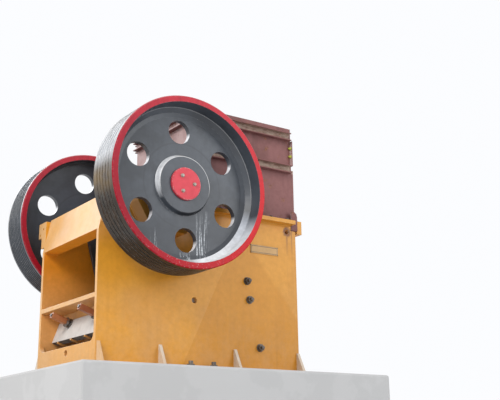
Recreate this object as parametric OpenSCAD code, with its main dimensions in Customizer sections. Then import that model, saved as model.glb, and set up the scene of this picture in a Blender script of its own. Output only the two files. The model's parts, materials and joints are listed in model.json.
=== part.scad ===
// Single toggle jaw crusher with a welded plate frame, two flywheels and a feed chute.
// Millimetres, +Z up, +X towards the feed end, +Y along the shaft to the belt wheel.
// The origin is on the ground under the middle of the machine.

/* [Flywheels] */
// Outside diameter of both flywheels
wheel_d = 1600; // [1520:10:1680]
// Width of each flywheel rim
wheel_w = 360; // [340:5:380]
// Radial thickness of the rim at its outer face
rim_t = 58; // [50:1:66]
// Depth of the dished web below the outer rim face
web_depth = 178; // [168:2:190]
// Thickness of the web
web_t = 54; // [44:1:64]
// Round holes through each web
web_holes = 6; // [5:1:7]
// Diameter of those holes
web_hole_d = 224; // [180:2:236]
// Radius of the raised hub disc at its foot
hub_r = 280; // [260:2:300]
// Radius of the red retaining disc on the shaft end
cap_r = 152; // [140:2:170]
// V grooves in the rim of the belt wheel
belt_grooves = 8; // [6:1:8]
// Shallow grooves in the rim of the plain wheel
plain_grooves = 5; // [4:1:6]

/* [Shaft and bearings] */
// Height of the shaft axis above the ground
shaft_h = 1640; // [1600:5:1700]
// Offset of the eccentric from the shaft axis
throw = 15; // [12:1:16]
// Diameter of the shaft in the main bearings
shaft_d = 200; // [190:2:216]
// Diameter of the eccentric part under the pitman
eccentric_d = 250; // [250:2:270]
// Outside radius of the bearing housings
housing_r = 210; // [200:1:220]

/* [Frame] */
// Width over the two side plates
frame_w = 1240; // [1220:5:1290]
// Thickness of each side plate
plate_t = 40; // [34:1:46]
// Reach of the side plates behind the shaft axis
rear_reach = 634; // [620:2:660]
// Reach of the side plates in front of the shaft axis
front_reach = 1595; // [1560:5:1640]
// Thickness of the base flanges
base_t = 40; // [32:1:50]
// Width of the base flanges outside the side plates
base_out = 120; // [112:2:136]
// Diameter of the foundation bolt holes
anchor_d = 42; // [36:1:50]

/* [Crushing chamber] */
// Width of the feed opening at the top of the jaws
gape = 650; // [620:5:680]
// Discharge gap at the bottom of the jaws
setting = 110; // [90:2:140]
// Upright height of the jaw plates
jaw_h = 1230; // [1200:5:1250]
// Spacing of the teeth on the jaw plates
tooth_pitch = 53; // [44:1:62]
// Height of those teeth
tooth_h = 24; // [18:1:28]

/* [Toggle and rear beam] */
// Slope of the toggle, the tension rods and the rear beam
toggle_slope = 20; // [17:1:22]
// Width of the toggle plate
toggle_w = 470; // [420:5:480]
// Distance of each tension rod from the middle
rod_y = 300; // [296:2:320]

/* [Feed chute] */
// Height of the chute above the shaft axis
chute_top = 992; // [940:4:1040]
// Thickness of the chute panels
sheet = 12; // [10:1:16]
// Height of the channel ribs round the chute
rib_h = 84; // [70:2:96]
// Depth of the channel ribs
rib_out = 55; // [45:1:64]

/* [Hidden] */
$fn = 96;
wheel_r = wheel_d / 2;
fit_gap = 0.3;
front_end = front_reach + 85;
shaft_x = -(front_end - wheel_r) / 2;
half_w = frame_w / 2;
in_w = half_w - plate_t;
wheel_in = half_w + 200;
wheel_out = wheel_in + wheel_w;
hub_depth = 129;
hub_face = wheel_out - hub_depth;
top_z = -50;
ground_z = -shaft_h;
hood_z = -398;
lean_x = 74;
chute_x = 384;
barrel_r = 240;
pitman_w = 2 * in_w - 100;
pitman_face = 250;
jaw_t = 90;
jaw_x = pitman_face + jaw_t;
jaw_top = -90;
jaw_low = jaw_top - jaw_h;
nip = atan((gape - setting) / jaw_h);
fixed_len = jaw_h / cos(nip);
fixed_t = 110;
wall_t = 70;
cheek_t = 25;
seat_half = housing_r + 120;
saddle_out = 160;
front_in = front_reach - 55;
beam_x = -447;
beam_z = jaw_low + 123;
toggle_len = 320;
toggle_r = 30;
toggle_x0 = -345;
toggle_z0 = jaw_low + 130;
toggle_x1 = toggle_x0 + toggle_len * cos(toggle_slope);
toggle_z1 = toggle_z0 - toggle_len * sin(toggle_slope);
run_gap = throw + 6;
beam_half = 32;
rod_off = 64;
rod_d = 30;
pin_dist = 400;
pin_x = beam_x + pin_dist * cos(toggle_slope) + rod_off * sin(toggle_slope);
pin_z = beam_z - pin_dist * sin(toggle_slope) + rod_off * cos(toggle_slope);
pin_r = 20;
collar_d = 96;
collar_t = 14;
nut_d = 54;
spring_off = 48;
spring_len = 155;
spring_w = 52;
pitman_low = jaw_low - 80;
shelf_z = beam_z + 229;
sill_z = beam_z - 191;
inner_x = -370;
gusset_x = [-rear_reach + 25, 4, 822, front_reach - 15];
rib_low = jaw_low + 20;
rib_step = 370;
rib_t = 36;
post_t = 22;
chute_rib_z = [528, chute_top - 104];
flange_out = rib_out - 19;
foot_in = 54;

// Places things drawn from the shaft axis.
module at_shaft() {
  translate([shaft_x, 0, shaft_h])
    children();
}

// Turns a profile drawn in X and Z into a plate lying between two Y values.
module across(y0, y1) {
  translate([0, y1, 0])
    rotate([90, 0, 0])
      linear_extrude(height = y1 - y0)
        children();
}

// A round bar or hole along Y.
module round_y(x, z, d, y0, y1) {
  translate([x, y1, z])
    rotate([90, 0, 0])
      cylinder(d = d, h = y1 - y0);
}

// A box given by its low and high corners.
module block(low, high) {
  translate(low)
    cube([high[0] - low[0], high[1] - low[1], high[2] - low[2]]);
}

// The same piece on the near side and on the far side.
module both_sides() {
  children();
  mirror([0, 1, 0])
    children();
}

// Frame of the leaning fixed jaw: Z runs up along its face, X points into the wall.
module lean_frame() {
  translate([jaw_x + setting, 0, jaw_low])
    rotate([0, nip, 0])
      children();
}

// Frame of the rear beam: X points down along the toggle towards the pitman.
module slope_frame(x, z) {
  translate([x, 0, z])
    rotate([0, toggle_slope, 0])
      children();
}

module side_profile() {
  polygon([[-rear_reach, ground_z + base_t], [front_reach, ground_z + base_t],
    [front_reach, top_z], [-rear_reach + lean_x, top_z], [-rear_reach, hood_z]]);
}

module side_plate() {
  difference() {
    across(in_w, half_w)
      side_profile();
    // seat of the bearing housing
    round_y(0, 0, 2 * (housing_r + fit_gap), in_w - 1, half_w + 1);
    // sight hole beside the chamber and lifting hole near the feed end
    round_y(368, -962, 56, in_w - 1, half_w + 1);
    round_y(front_reach - 112, -161, 50, in_w - 1, half_w + 1);
  }
}

module side_plate_near() {
  color([0.83, 0.52, 0.13])
    at_shaft()
      mirror([0, 1, 0])
        side_plate();
}

module side_plate_far() {
  color([0.83, 0.52, 0.13])
    at_shaft()
      side_plate();
}

module base_flange() {
  difference() {
    block([-rear_reach, in_w - 40, ground_z], [front_reach, half_w + base_out, ground_z + base_t]);
    middle = (gusset_x[1] + gusset_x[2]) / 2;
    for (x = [-rear_reach + 90, middle - 124, middle + 124, front_reach - 90])
      translate([x, half_w + base_out * 0.58, ground_z - 1])
        cylinder(d = anchor_d, h = base_t + 2);
  }
}

module base_flanges() {
  color([0.83, 0.52, 0.13])
    at_shaft()
      both_sides()
        base_flange();
}

module foot_gusset(x) {
  low = ground_z + base_t;
  high = low + 205;
  translate([x + 15, 0, 0])
    rotate([90, 0, -90])
      linear_extrude(height = 30)
        polygon([[-half_w, low], [-half_w - base_out + 14, low], [-half_w - base_out + 14, low + 14],
          [-half_w - 12, high], [-half_w, high]]);
}

module foot_gussets() {
  color([0.83, 0.52, 0.13])
    at_shaft()
      both_sides()
        for (x = gusset_x)
          foot_gusset(x);
}

module top_flanges() {
  color([0.83, 0.52, 0.13])
    at_shaft()
      both_sides()
        block([seat_half + 20, half_w, top_z - 40], [front_reach - foot_in, half_w + 80, top_z]);
}

module front_wall() {
  color([0.78, 0.48, 0.12])
    at_shaft()
      lean_frame()
        block([fixed_t, -in_w, -60], [fixed_t + wall_t, in_w, fixed_len - 90]);
}

// X of the back of the leaning wall at a height, with a weld gap.
function wall_x(z) = jaw_x + setting + (fixed_t + wall_t + fit_gap) / cos(nip) + (z - jaw_low) * tan(nip);

module front_ribs() {
  color([0.78, 0.48, 0.12])
    at_shaft()
      for (z = [rib_low, rib_low + rib_step, rib_low + 2 * rib_step])
        across(-in_w, in_w)
          polygon([[wall_x(z), z], [front_in, z], [front_in, z + rib_t], [wall_x(z + rib_t), z + rib_t]]);
}

// Upright plates between the level ribs.
module front_upright(y, z0, z1) {
  across(y - 16, y + 16)
    polygon([[wall_x(z0), z0], [front_in - 40, z0], [front_in - 40, z1], [wall_x(z1), z1]]);
}

module front_uprights() {
  color([0.78, 0.48, 0.12])
    at_shaft()
      for (i = [1:1:4]) {
        y = -in_w + i * 2 * in_w / 5;
        for (n = [0:1:1])
          front_upright(y, rib_low + n * rib_step + rib_t, rib_low + (n + 1) * rib_step);
        front_upright(y, rib_low + 2 * rib_step + rib_t, -220);
      }
}

module front_deck() {
  color([0.78, 0.48, 0.12])
    at_shaft()
      across(-in_w, in_w)
        polygon([[jaw_x + gape + 150, top_z - 60], [front_reach, top_z - 60], [front_reach, top_z - 10],
          [jaw_x + gape + 150, top_z - 10]]);
}

module front_beam() {
  x0 = front_reach + post_t;
  color([0.85, 0.55, 0.15])
    at_shaft()
      difference() {
        block([x0, -half_w, top_z - 118], [front_end, half_w, top_z + 22]);
        block([x0 - 1, -half_w + 60, top_z - 98], [front_end - 20, half_w - 60, top_z + 2]);
      }
}

module rear_hood() {
  color([0.86, 0.58, 0.20])
    at_shaft()
      difference() {
        across(-in_w, in_w)
          polygon([[-rear_reach, hood_z], [-rear_reach + 138, hood_z - 12], [-rear_reach + 200, top_z],
            [-rear_reach + lean_x, top_z]]);
        across(-in_w + 30, in_w - 30)
          polygon([[-rear_reach + 34, hood_z + 26], [-rear_reach + 118, hood_z + 18],
            [-rear_reach + 168, top_z - 24], [-rear_reach + lean_x + 28, top_z - 24]]);
      }
}

module rear_shelf() {
  color([0.86, 0.58, 0.20])
    at_shaft()
      block([-rear_reach, -in_w, shelf_z - 40], [inner_x, in_w, shelf_z]);
}

module rear_inner_wall() {
  color([0.80, 0.48, 0.14])
    at_shaft()
      block([inner_x - 30, -in_w, beam_z + 102], [inner_x, in_w, shelf_z - 40]);
}

module rear_beam_plate() {
  color([0.76, 0.75, 0.72])
    at_shaft()
      difference() {
        slope_frame(beam_x, beam_z)
          block([-beam_half, -in_w, -104], [beam_half, in_w, 104]);
        for (y = [-rod_y, rod_y])
          slope_frame(beam_x, beam_z)
            translate([-beam_half - 1, y, rod_off])
              rotate([0, 90, 0])
                cylinder(d = rod_d + 12, h = 2 * beam_half + 2);
      }
}

// Ribs under the rear beam plate and under the ledge of the toggle block.
module rear_beam_ribs() {
  color([0.85, 0.56, 0.18])
    at_shaft()
      slope_frame(beam_x, beam_z)
        for (y = [-444, -148, 148, 444])
          across(y - 8, y + 8)
            polygon([[-beam_half, -104], [beam_half, -104], [beam_half, -90], [104, -90], [104, -108],
              [beam_half + 10, -122], [-beam_half, -122]]);
}

// Outline of the sill in Y and Z, with rounded corners up to the side plates.
module sill_profile() {
  corner_r = 60;
  side = in_w - 8;
  difference() {
    translate([-in_w, ground_z + base_t])
      square([2 * in_w, sill_z + corner_r - ground_z - base_t]);
    translate([-side + corner_r, sill_z])
      square([2 * side - 2 * corner_r, corner_r + 1]);
    for (s = [-1, 1])
      translate([s * (side - corner_r), sill_z + corner_r])
        circle(r = corner_r);
  }
}

module rear_sill() {
  low = ground_z + base_t;
  color([0.85, 0.56, 0.18])
    at_shaft()
      union() {
        difference() {
          translate([-rear_reach, 0, 0])
            rotate([90, 0, 90])
              linear_extrude(height = 40)
                sill_profile();
          translate([-rear_reach - 1, -20, sill_z - 58])
            rotate([0, 90, 0])
              cylinder(d = 60, h = 42);
        }
        for (y = [-260, 260])
          block([-rear_reach + 40, y - 15, low], [-rear_reach + 140, y + 15, sill_z - 10]);
      }
}

// Two upright cheeks and the ledge that keep the toggle block and its wedges in line.
module toggle_guides() {
  side = toggle_w / 2 + 8;
  color([0.72, 0.44, 0.14])
    at_shaft()
      slope_frame(beam_x, beam_z)
        union() {
          block([beam_half, -side - 18, -90], [110, side + 18, -70]);
          both_sides()
            block([beam_half, side, -90], [110, side + 18, 95]);
        }
}

// Distance of the sloping wedge face from the middle of the rear beam plate.
function wedge_x(z) = beam_half + 14 + (z + 70) * 0.0875;

module adjusting_wedges() {
  color([0.45, 0.44, 0.42])
    at_shaft()
      slope_frame(beam_x, beam_z)
        both_sides()
          across(6, toggle_w / 2)
            polygon([[beam_half, -70], [wedge_x(-70), -70], [wedge_x(90), 90], [beam_half, 90]]);
}

module toggle_block() {
  color([0.42, 0.40, 0.38])
    at_shaft()
      difference() {
        slope_frame(beam_x, beam_z)
          across(-toggle_w / 2, toggle_w / 2)
            polygon([[wedge_x(-70), -70], [104, -70], [104, 80], [wedge_x(80), 80]]);
        round_y(toggle_x0, toggle_z0, 2 * (toggle_r + fit_gap), -toggle_w / 2 - 1, toggle_w / 2 + 1);
      }
}

module toggle_plate() {
  half = toggle_w / 2 - 6;
  color([0.40, 0.38, 0.36])
    at_shaft()
      union() {
        round_y(toggle_x0, toggle_z0, 2 * toggle_r, -half, half);
        round_y(toggle_x1, toggle_z1, 2 * toggle_r, -half, half);
        slope_frame(toggle_x0, toggle_z0)
          block([0, -half, -20], [toggle_len, half, 20]);
      }
}

module rod_bar(y, x0, x1, d) {
  slope_frame(beam_x, beam_z)
    translate([x0, y, rod_off])
      rotate([0, 90, 0])
        cylinder(d = d, h = x1 - x0);
}

// Eye round the pin with room for the travel of the pitman.
module rod_eye(y) {
  difference() {
    union() {
      round_y(pin_x, pin_z + throw, 2 * (pin_r + run_gap + 18), y - 22, y + 22);
      slope_frame(beam_x, beam_z)
        block([pin_dist - 116, y - 24, rod_off - 28], [pin_dist - 46, y + 24, rod_off + 36]);
    }
    round_y(pin_x, pin_z + throw, 2 * (pin_r + run_gap), y - 23, y + 23);
  }
}

// Each rod carries a washer and a nut on the beam plate and a collar under its spring.
module tension_rods() {
  color([0.30, 0.29, 0.28])
    at_shaft()
      for (y = [-rod_y, rod_y])
        union() {
          rod_bar(y, -beam_half - spring_off - spring_len - 12, pin_dist - 80, rod_d);
          rod_bar(y, -beam_half - collar_t, -beam_half, collar_d);
          rod_bar(y, -beam_half - spring_off, -beam_half - spring_off + collar_t, collar_d);
          slope_frame(beam_x, beam_z)
            translate([-beam_half - spring_off + collar_t, y, rod_off])
              rotate([0, 90, 0])
                cylinder(d = nut_d, h = spring_off - 2 * collar_t + 1, $fn = 6);
          rod_eye(y);
        }
}

// Square tubes that house the springs of the rods.
module spring_tubes() {
  x1 = -beam_half - spring_off;
  color([0.80, 0.52, 0.38])
    at_shaft()
      for (y = [-rod_y, rod_y])
        difference() {
          slope_frame(beam_x, beam_z)
            block([x1 - spring_len, y - spring_w / 2, rod_off - spring_w / 2],
              [x1, y + spring_w / 2, rod_off + spring_w / 2]);
          rod_bar(y, x1 - spring_len - 1, x1 - 14, spring_w - 16);
          rod_bar(y, x1 - 20, x1 + 1, rod_d + 2 * fit_gap);
        }
}

// Corrugated profile: flat back at x = t, teeth towards x = 0.
module tooth_profile(w, t) {
  n = floor((w - 20) / tooth_pitch);
  edge = (w - n * tooth_pitch) / 2;
  teeth = [for (i = [0:1:n - 1]) each [
    [tooth_h, -w / 2 + edge + (i + 0.04) * tooth_pitch],
    [0, -w / 2 + edge + (i + 0.36) * tooth_pitch],
    [0, -w / 2 + edge + (i + 0.64) * tooth_pitch],
    [tooth_h, -w / 2 + edge + (i + 0.96) * tooth_pitch]]];
  polygon(concat([[t, -w / 2], [tooth_h, -w / 2]], teeth, [[tooth_h, w / 2], [t, w / 2]]));
}

module fixed_jaw_plate() {
  color([0.47, 0.45, 0.43])
    at_shaft()
      lean_frame()
        linear_extrude(height = fixed_len - 90)
          tooth_profile(2 * (in_w - cheek_t) - 10, fixed_t);
}

// A clamping bar over the fixed jaw and a ledge under it.
module fixed_jaw_wedges() {
  color([0.42, 0.40, 0.38])
    at_shaft()
      lean_frame()
        union() {
          block([40, -in_w + 5, -60], [fixed_t, in_w - 5, 0]);
          block([46, -in_w + 5, fixed_len - 90], [fixed_t + 40, in_w - 5, fixed_len - 36]);
        }
}

// Wear plates on the inside of the side plates, split where they are changed.
module cheek_plate() {
  split = jaw_low + 0.46 * jaw_h;
  x_at = function(z) jaw_x + setting + (z - jaw_low) * tan(nip) - 8;
  back = jaw_x - 60;
  across(in_w - cheek_t, in_w)
    polygon([[back, split + 5], [x_at(split + 5), split + 5], [x_at(jaw_top), jaw_top], [back, jaw_top]]);
  across(in_w - cheek_t, in_w)
    polygon([[back, jaw_low + 30], [x_at(jaw_low + 30), jaw_low + 30], [x_at(split - 5), split - 5],
      [back, split - 5]]);
}

module cheek_plates() {
  color([0.47, 0.45, 0.43])
    at_shaft()
      both_sides()
        cheek_plate();
}

module bearing_saddles() {
  color([0.83, 0.52, 0.13])
    at_shaft()
      both_sides()
        difference() {
          across(half_w, half_w + saddle_out)
            polygon([[-seat_half, top_z], [-seat_half, top_z - 80], [-housing_r + 30, top_z - 330],
              [housing_r - 30, top_z - 330], [seat_half, top_z - 80], [seat_half, top_z]]);
          round_y(0, 0, 2 * (housing_r + fit_gap), half_w - 1, half_w + saddle_out + 1);
        }
}

module bearing_caps() {
  color([0.34, 0.35, 0.37])
    at_shaft()
      both_sides()
        difference() {
          intersection() {
            union() {
              round_y(0, 0, 2 * (housing_r + 55), half_w, half_w + saddle_out);
              block([-seat_half, half_w, top_z], [seat_half, half_w + saddle_out, top_z + 80]);
            }
            block([-seat_half - 1, half_w - 1, top_z], [seat_half + 1, half_w + saddle_out + 1, 400]);
          }
          round_y(0, 0, 2 * (housing_r + fit_gap), half_w - 1, half_w + saddle_out + 1);
        }
}

module bearing_housings() {
  color([0.30, 0.31, 0.33])
    at_shaft()
      both_sides()
        difference() {
          union() {
            round_y(0, 0, 2 * housing_r, in_w + 6, half_w + saddle_out + 6);
            round_y(0, 0, 2 * housing_r - 70, in_w, half_w + saddle_out + 32);
          }
          round_y(0, 0, shaft_d + 2 * fit_gap, in_w - 1, half_w + saddle_out + 40);
        }
}

// Plate behind the wheel for the edge of a belt guard, wider at its top.
module side_bracket() {
  back = -rear_reach + 24;
  difference() {
    union() {
      block([back, half_w, -330], [back + 22, half_w + 104, -66]);
      block([back, half_w + 103, -217], [back + 22, half_w + 176, -66]);
      block([back + 21, half_w, -330], [back + 104, half_w + 20, -66]);
    }
    for (p = [[63, -131], [142, -187]])
      translate([back - 1, half_w + p[0], p[1]])
        rotate([0, 90, 0])
          cylinder(d = 26, h = 24);
  }
}

module side_brackets() {
  color([0.83, 0.52, 0.13])
    at_shaft()
      both_sides()
        side_bracket();
}

module name_plate() {
  color([0.84, 0.60, 0.30])
    at_shaft()
      block([1020, -half_w - 7, -430], [1360, -half_w, -343]);
}

module chute_side() {
  difference() {
    union() {
      block([chute_x, in_w - sheet, top_z + sheet], [front_reach, in_w, chute_top]);
      block([front_reach - sheet, in_w, chute_rib_z[0] + rib_h / 2],
        [front_reach, in_w + flange_out, chute_rib_z[1] - rib_h / 2]);
    }
    for (z = [676, 766])
      translate([front_reach - sheet - 1, in_w + flange_out / 2, z])
        rotate([0, 90, 0])
          cylinder(d = 22, h = sheet + 2);
  }
}

module chute_side_near() {
  color([0.36, 0.17, 0.16])
    at_shaft()
      mirror([0, 1, 0])
        chute_side();
}

module chute_side_far() {
  color([0.36, 0.17, 0.16])
    at_shaft()
      chute_side();
}

module chute_rear_wall() {
  color([0.36, 0.17, 0.16])
    at_shaft()
      block([chute_x, -in_w + sheet, top_z + sheet], [chute_x + sheet, in_w - sheet, chute_top]);
}

module chute_front_wall() {
  color([0.36, 0.17, 0.16])
    at_shaft()
      block([front_reach - sheet, -in_w + sheet, top_z + sheet], [front_reach, in_w - sheet, 420]);
}

// Section of a channel rib, its open side outwards along +X.
module channel() {
  difference() {
    translate([0, -rib_h / 2])
      square([rib_out, rib_h]);
    translate([9, -rib_h / 2 + 9])
      square([rib_out, rib_h - 18]);
  }
}

module side_rib(z) {
  translate([chute_x, in_w, z])
    rotate([90, 0, 90])
      linear_extrude(height = front_reach - chute_x - 24)
        channel();
}

module rear_rib(z) {
  across(-in_w, in_w)
    translate([chute_x, z])
      mirror([1, 0])
        channel();
}

module chute_ribs() {
  color([0.38, 0.20, 0.17])
    at_shaft()
      for (z = chute_rib_z) {
        both_sides()
          side_rib(z);
        rear_rib(z);
      }
}

// Post at the front edge of the chute. Its foot turns round the side plate.
module chute_post() {
  x1 = front_reach + post_t;
  low = top_z - 90;
  block([front_reach, in_w - 10, low], [x1, in_w + 4, chute_rib_z[0]]);
  block([front_reach, in_w, low], [x1, half_w + 12, top_z + 60]);
  across(half_w, half_w + 12)
    polygon([[front_reach - foot_in, low], [x1, low], [x1, top_z + 60], [x1 - 9, top_z + 92],
      [x1 - 34, top_z + 112], [front_reach - foot_in, top_z + 112]]);
}

module chute_posts() {
  color([0.42, 0.24, 0.17])
    at_shaft()
      both_sides()
        union()
          chute_post();
}

module chute_foot() {
  x1 = front_reach - foot_in;
  color([0.38, 0.20, 0.17])
    at_shaft()
      union() {
        both_sides() {
          block([chute_x, in_w - 40, top_z], [x1, half_w + 40, top_z + sheet]);
          block([x1 - 1, in_w - 40, top_z], [front_reach, half_w, top_z + sheet]);
        }
        block([chute_x, -in_w + 40, top_z], [chute_x + 30, in_w - 40, top_z + sheet]);
      }
}

module eccentric_shaft() {
  color([0.50, 0.50, 0.51])
    at_shaft()
      union() {
        round_y(0, 0, shaft_d, -hub_face, hub_face);
        round_y(0, -throw, eccentric_d, -pitman_w / 2, pitman_w / 2);
      }
}

// Half section of a wheel, x = radius, y = distance outwards from its inner face.
module wheel_section(grooves, pitch, groove_w, groove_h) {
  web_out = wheel_w - web_depth;
  web_in = web_out - web_t;
  rim_r = wheel_r - rim_t;
  hub_out = wheel_w - hub_depth;
  first = wheel_w / 2 - (grooves - 1) * pitch / 2;
  bore = shaft_d / 2 + fit_gap;
  vees = [for (i = [0:1:grooves - 1]) each [
    [wheel_r, first + i * pitch - groove_w / 2],
    [wheel_r - groove_h, first + i * pitch - groove_w / 5],
    [wheel_r - groove_h, first + i * pitch + groove_w / 5],
    [wheel_r, first + i * pitch + groove_w / 2]]];
  polygon(concat([[bore, 6], [hub_r - 60, 6], [hub_r - 40, web_in], [rim_r - 26, web_in],
    [rim_r, web_in - 26], [rim_r, 0], [wheel_r - 8, 0], [wheel_r, 8]], vees,
    [[wheel_r, wheel_w - 8], [wheel_r - 8, wheel_w], [rim_r, wheel_w],
    [rim_r - 12, web_out + 56], [rim_r - 56, web_out + 12], [rim_r - 96, web_out],
    [hub_r + 6, web_out], [hub_r, web_out + 6], [hub_r - 13, hub_out - 5], [hub_r - 18, hub_out],
    [bore, hub_out]]));
}

// A flywheel standing outwards from its inner face, its first web hole at the given turn.
module wheel(grooves, pitch, groove_w, groove_h, turn) {
  translate([0, wheel_in, 0])
    rotate([-90, 0, 0])
      difference() {
        rotate_extrude($fn = 120)
          wheel_section(grooves, pitch, groove_w, groove_h);
        for (i = [0:1:web_holes - 1])
          rotate([0, 0, turn + i * 360 / web_holes])
            translate([wheel_r * 0.635, 0, -1])
              cylinder(d = web_hole_d, h = wheel_w + 2);
      }
}

module flywheel_near() {
  color([0.20, 0.22, 0.25])
    at_shaft()
      mirror([0, 1, 0])
        wheel(plain_grooves, 52, 20, 10, -94.2);
}

module flywheel_far() {
  color([0.20, 0.22, 0.25])
    at_shaft()
      wheel(belt_grooves, 37, 32, 27, -96.5);
}

module shaft_caps() {
  color([0.72, 0.10, 0.15])
    at_shaft()
      both_sides()
        difference() {
          union() {
            round_y(0, 0, 2 * cap_r, hub_face, hub_face + 20);
            round_y(0, 0, 2 * cap_r - 8, hub_face + 19, hub_face + 25);
          }
          for (i = [0:1:2])
            rotate([0, -33 + i * 120, 0])
              round_y(0, 82, 24, hub_face + 8, hub_face + 30);
        }
}

module pitman_profile() {
  polygon([[-barrel_r + 4, -throw], [-barrel_r + 16, -150], [40, pitman_low + 280], [40, pitman_low],
    [pitman_face, pitman_low], [pitman_face, jaw_top], [120, -throw]]);
}

module pitman() {
  half = pitman_w / 2;
  color([0.25, 0.26, 0.28])
    at_shaft()
      difference() {
        union() {
          round_y(0, -throw, 2 * barrel_r, -half, half);
          // wall behind the moving jaw, with a ledge under the jaw plate
          across(-half, half)
            polygon([[150, -100], [190, pitman_low], [pitman_face + 50, pitman_low],
              [pitman_face + 50, jaw_low], [pitman_face, jaw_low], [pitman_face, -60]]);
          across(-half, half)
            polygon([[40, pitman_low], [200, pitman_low], [200, pitman_low + 240], [40, pitman_low + 200]]);
          for (i = [0:1:5]) {
            y = -half + 20 + i * (2 * half - 40) / 5;
            across(y - 20, y + 20)
              pitman_profile();
          }
        }
        round_y(0, -throw, eccentric_d + 2 * fit_gap, -half - 1, half + 1);
      }
}

module moving_jaw_plate() {
  color([0.47, 0.45, 0.43])
    at_shaft()
      translate([jaw_x, 0, jaw_low])
        mirror([1, 0, 0])
          linear_extrude(height = jaw_h)
            tooth_profile(pitman_w, jaw_t);
}

module jaw_clamp() {
  half = pitman_w / 2;
  color([0.42, 0.40, 0.38])
    at_shaft()
      across(-half, half)
        polygon([[pitman_face, jaw_top], [jaw_x - 10, jaw_top], [jaw_x - 24, jaw_top + 56],
          [pitman_face, jaw_top + 56]]);
}

// Curved plate that keeps falling stone off the bearing barrel.
module pitman_guard() {
  half = pitman_w / 2 - 20;
  color([0.32, 0.30, 0.28])
    at_shaft()
      difference() {
        round_y(0, -throw, 2 * barrel_r + 28, -half, half);
        round_y(0, -throw, 2 * barrel_r + 2 * fit_gap, -half - 1, half + 1);
        block([-300, -half - 1, -300], [300, half + 1, 0]);
        block([-300, -half - 1, -1], [-80, half + 1, 300]);
      }
}

module toggle_seat() {
  half = toggle_w / 2;
  seat_z = toggle_z1 - throw;
  color([0.42, 0.40, 0.38])
    at_shaft()
      difference() {
        block([toggle_x1, -half - 6, seat_z - 78], [40, half + 6, seat_z + 78]);
        round_y(toggle_x1, seat_z, 2 * (toggle_r + run_gap), -half - 7, half + 7);
      }
}

module rod_pins() {
  color([0.52, 0.52, 0.53])
    at_shaft()
      for (y = [-rod_y, rod_y])
        union() {
          round_y(pin_x, pin_z, 2 * pin_r, y - 57, y + 57);
          for (s = [-1, 1])
            block([pin_x - 34, y + s * 42 - 12, pin_z - 40], [40, y + s * 42 + 12, pin_z + 40]);
        }
}

side_plate_near();
side_plate_far();
base_flanges();
foot_gussets();
top_flanges();
front_wall();
front_ribs();
front_uprights();
front_deck();
front_beam();
rear_hood();
rear_shelf();
rear_inner_wall();
rear_beam_plate();
rear_beam_ribs();
rear_sill();
toggle_guides();
toggle_block();
adjusting_wedges();
toggle_plate();
tension_rods();
spring_tubes();
fixed_jaw_plate();
fixed_jaw_wedges();
cheek_plates();
bearing_saddles();
bearing_caps();
bearing_housings();
side_brackets();
name_plate();
chute_side_near();
chute_side_far();
chute_rear_wall();
chute_front_wall();
chute_ribs();
chute_posts();
chute_foot();
eccentric_shaft();
flywheel_near();
flywheel_far();
shaft_caps();
pitman();
moving_jaw_plate();
jaw_clamp();
pitman_guard();
toggle_seat();
rod_pins();
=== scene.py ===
# %% [markdown]
# # A jaw crusher with two flywheels
#
# This lesson dresses a CAD model of a single toggle jaw crusher. The CAD parts keep their shapes and
# get procedural finishes here. Fasteners, weld beads and other small pieces are modelled on top of them.
# Every length is in metres: +Z is up, +X points to the feed end, +Y to the belt wheel.

import json
import math
from types import SimpleNamespace

import bmesh
import bpy
from mathutils import Matrix, Vector


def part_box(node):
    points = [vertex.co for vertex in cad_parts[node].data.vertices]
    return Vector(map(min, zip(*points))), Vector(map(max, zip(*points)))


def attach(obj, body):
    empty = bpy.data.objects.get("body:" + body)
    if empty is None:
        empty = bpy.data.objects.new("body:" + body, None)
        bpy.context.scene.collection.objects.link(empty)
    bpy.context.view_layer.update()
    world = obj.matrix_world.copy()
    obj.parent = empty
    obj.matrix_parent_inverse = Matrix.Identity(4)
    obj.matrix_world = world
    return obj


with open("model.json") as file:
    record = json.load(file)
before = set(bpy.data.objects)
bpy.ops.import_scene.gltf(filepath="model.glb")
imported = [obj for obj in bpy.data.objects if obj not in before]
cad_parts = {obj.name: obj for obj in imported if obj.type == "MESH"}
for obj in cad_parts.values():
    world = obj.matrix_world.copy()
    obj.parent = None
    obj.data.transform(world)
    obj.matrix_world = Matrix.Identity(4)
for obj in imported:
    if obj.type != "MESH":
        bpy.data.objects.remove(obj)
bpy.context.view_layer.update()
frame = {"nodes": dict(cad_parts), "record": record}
nodes = frame["nodes"]

# %% [markdown]
# Some places come back again and again: the shaft axis, the faces of the side plates, the rims and the
# ribs of the chute. They are read from the boxes of the CAD pieces, so that finishes and fasteners
# follow the solids. Only what a box doesn't show is written as a number.

# %% Places read from the solids
near_low, near_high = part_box("flywheel_near")
far_low, far_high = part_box("flywheel_far")
side_low, side_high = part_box("side_plate_far")
rib_low, rib_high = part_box("chute_ribs")

SHAFT = Vector(((near_low[0] + near_high[0]) / 2, 0, (near_low[2] + near_high[2]) / 2))
WHEEL_R = (near_high[2] - near_low[2]) / 2
WHEEL_Y = far_high[1]
WHEEL_W = WHEEL_Y - far_low[1]
PLATE_Y = side_high[1]
INNER_Y = side_low[1]
REAR_X = side_low[0]
FRONT_X = side_high[0]
FRAME_LOW, FRAME_TOP = [corner[2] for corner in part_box("side_plate_near")]
CHUTE_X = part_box("chute_rear_wall")[0][0]
CAP_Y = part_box("shaft_caps")[1][1]
HUB_Y = CAP_Y - 0.025  # the retaining disc is 25 mm thick
HUB_R = 0.261          # outer edge of the hub face
RIB_H = 0.084          # height of one channel rib
RIB_Z = (rib_low[2] + RIB_H / 2, rib_high[2] - RIB_H / 2)
print("shaft at", [round(v, 3) for v in SHAFT], "wheel radius", round(WHEEL_R, 3))
print("frame plates from", round(FRAME_LOW, 3), "to", round(FRAME_TOP, 3))


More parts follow.
